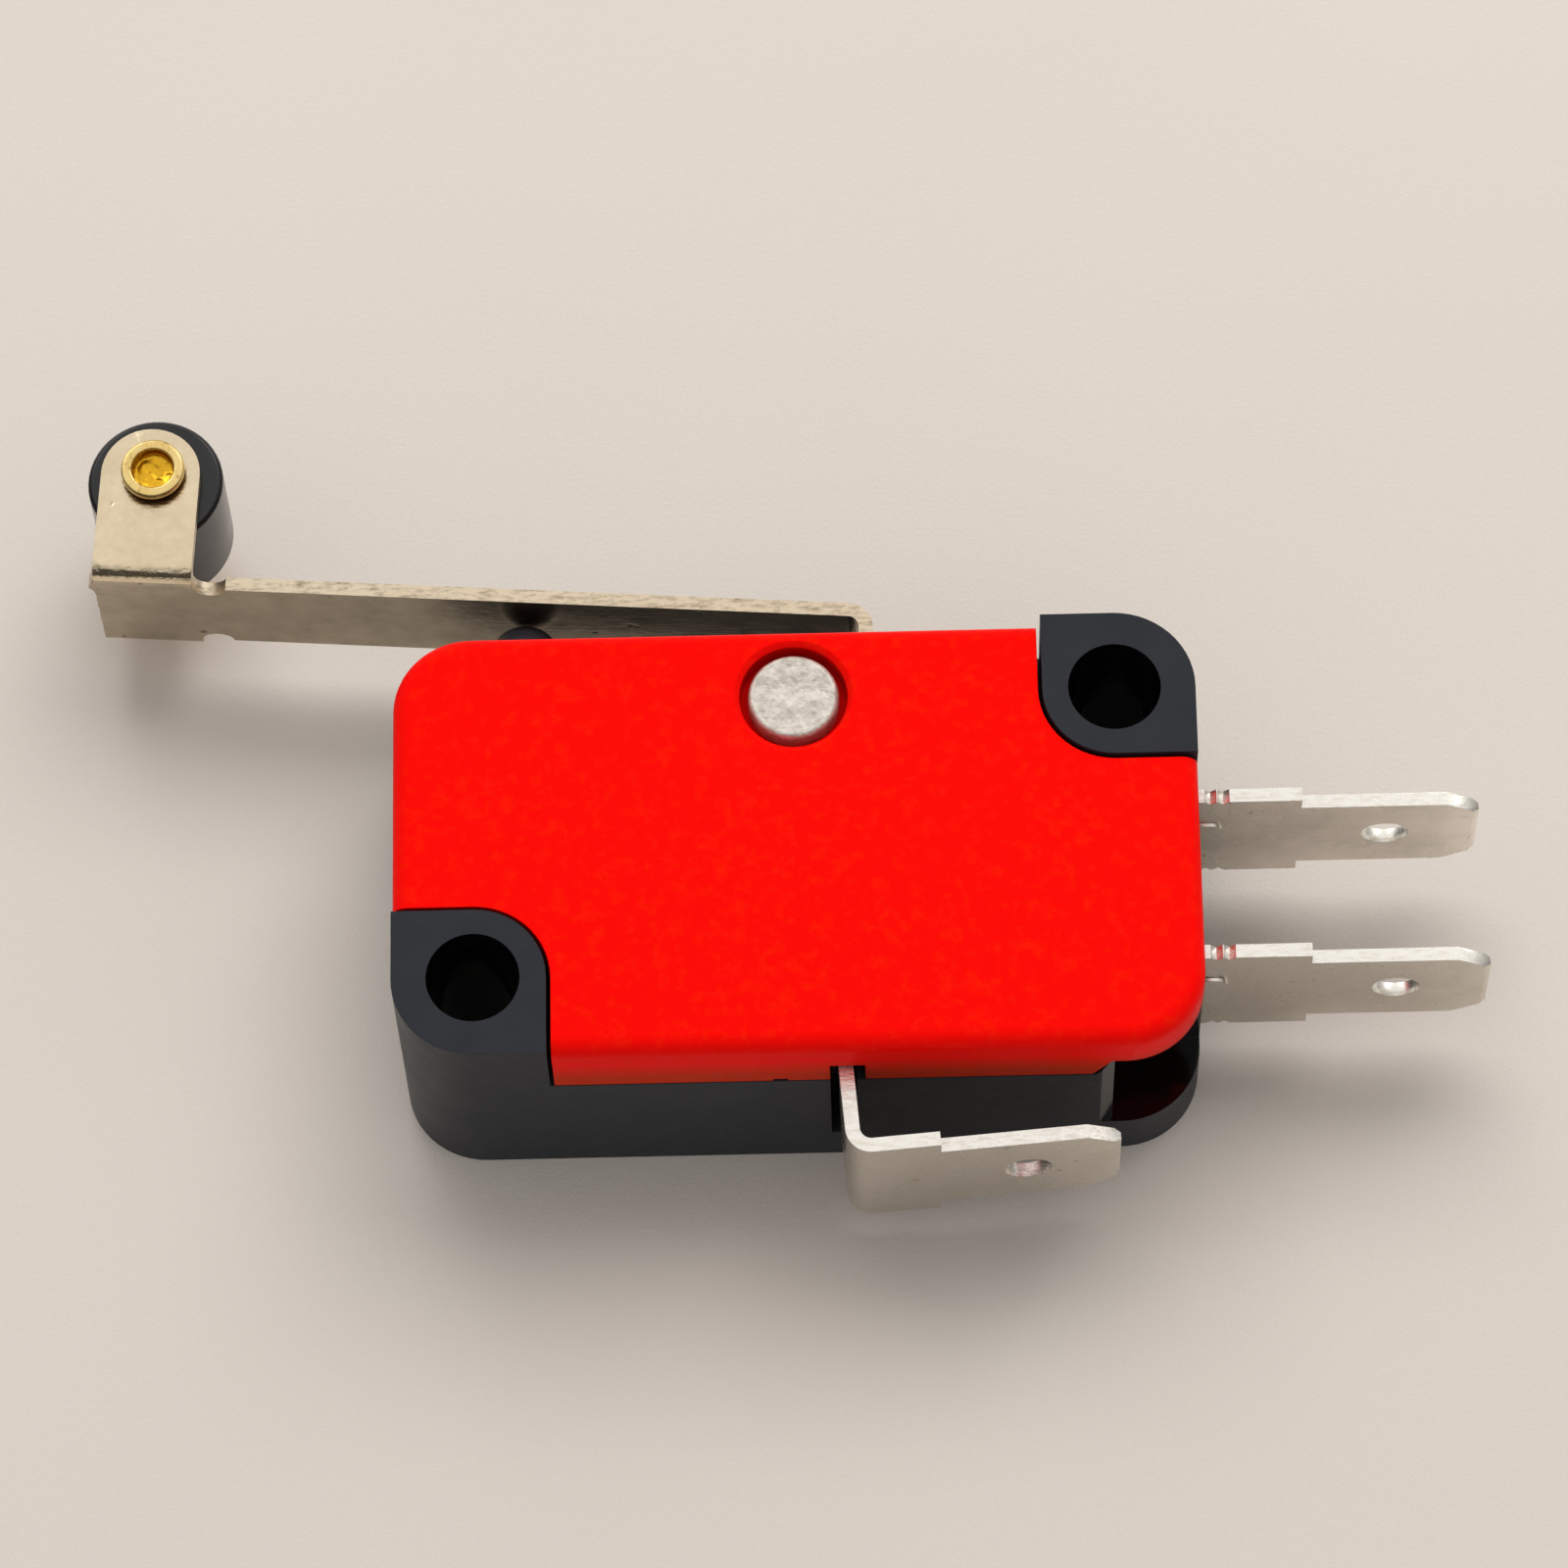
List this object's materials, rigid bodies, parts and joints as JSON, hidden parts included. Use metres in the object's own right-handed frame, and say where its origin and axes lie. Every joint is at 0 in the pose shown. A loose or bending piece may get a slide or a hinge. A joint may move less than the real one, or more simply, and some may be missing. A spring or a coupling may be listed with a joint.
{
  "type": "lever micro switch",
  "caption": "Snap-action micro switch: a phenolic case with a riveted cover, diagonal mounting holes, push-on tabs and a long hinged lever that ends in a roller.",
  "frame": {"origin": "axis of the front mounting hole, at the flat back face that the switch rests on", "axes": "+X along the body from that hole to the end terminals, +Y across the body towards the lever side, +Z through the thickness from the back face to the cover"},
  "size_m": [0.0487, 0.0286, 0.0103],
  "materials": {
    "case": "fine-grained dark grey phenolic moulding",
    "cover": "satin orange-red moulding",
    "rivet": "dull, faintly pitted",
    "lever": "satin plated spring steel",
    "roller": "glossy black nylon",
    "axle": "bare brass, rough inside the flared end",
    "plunger": "dark grey moulding",
    "terminal": "tinned brass sheet, satin with bright sheared edges",
    "contact": "silver alloy",
    "contact_arm": "copper alloy strip",
    "rocker": "plain steel strip",
    "spring": "spring steel wire"
  },
  "bodies": {
    "housing": {"case": "case", "cover": "cover", "cover_rivet": "rivet", "com_terminal": "terminal", "nc_terminal": "terminal", "no_terminal": "terminal", "nc_contact": "contact", "no_contact": "contact", "snap_spring": "spring"},
    "lever": {"lever": "lever", "roller_axle": "axle"},
    "roller": {"roller": "roller"},
    "plunger": {"plunger": "plunger"},
    "contact_arm": {"contact_arm": "contact_arm", "moving_contact": "contact"},
    "rocker": {"rocker": "rocker"}
  },
  "joints": [
    {"name": "lever_hinge", "type": "hinge", "parent": "housing", "child": "lever", "pos_m": [0.0135, 0.0119, 0.00515], "axis": [0, 0, 1], "range_deg": [0, 7.5], "stiffness_Nm_per_rad": 0.02, "springref_deg": -17.19},
    {"name": "roller_spin", "type": "hinge", "parent": "lever", "child": "roller", "pos_m": [-0.01137, 0.0203, 0.00515], "axis": [0, 0, 1], "continuous": true},
    {"name": "plunger_slide", "type": "slide", "parent": "housing", "child": "plunger", "axis": [0, -1, 0], "range_m": [0, 0.0016]},
    {"name": "rocker_hinge", "type": "hinge", "parent": "housing", "child": "rocker", "pos_m": [0.0104, 0.0016, 0.00515], "axis": [0, 0, 1], "range_deg": [0, 10.4], "deforming": ["snap_spring"]},
    {"name": "contact_arm_hinge", "type": "hinge", "parent": "housing", "child": "contact_arm", "pos_m": [0.0057, 0.0041, 0.00515], "axis": [0, 0, -1], "range_deg": [0, 3.8]}
  ],
  "couplings": [
    {"joint": "plunger_slide", "follows": "lever_hinge", "m_per_rad": 0.0119},
    {"joint": "rocker_hinge", "follows": "lever_hinge", "ratio": 1.371},
    {"joint": "contact_arm_hinge", "follows": "lever_hinge", "ratio": 0.494}
  ]
}
